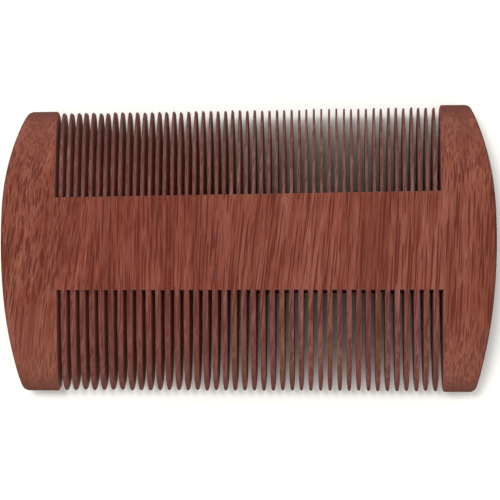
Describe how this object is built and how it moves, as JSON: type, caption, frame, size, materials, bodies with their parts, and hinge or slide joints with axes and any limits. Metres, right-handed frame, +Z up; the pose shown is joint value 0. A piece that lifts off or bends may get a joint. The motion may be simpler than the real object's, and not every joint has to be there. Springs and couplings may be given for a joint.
{
  "type": "beard comb",
  "caption": "Flat double-sided wooden comb: fine teeth on one long edge, coarse teeth on the other, a solid spine between them and bowed guards at both ends.",
  "frame": {"origin": "under the middle of the comb's box, on the surface it lies on", "axes": "+X along the comb, +Y across it towards the fine teeth, +Z up through its thickness"},
  "size_m": [0.0984, 0.0572, 0.0095],
  "materials": {
    "red_hardwood": "sanded and lightly waxed, satin"
  },
  "bodies": {
    "root": {"spine": "red_hardwood", "left_guard": "red_hardwood", "right_guard": "red_hardwood", "fine_teeth": "red_hardwood", "coarse_teeth": "red_hardwood"}
  },
  "joints": []
}
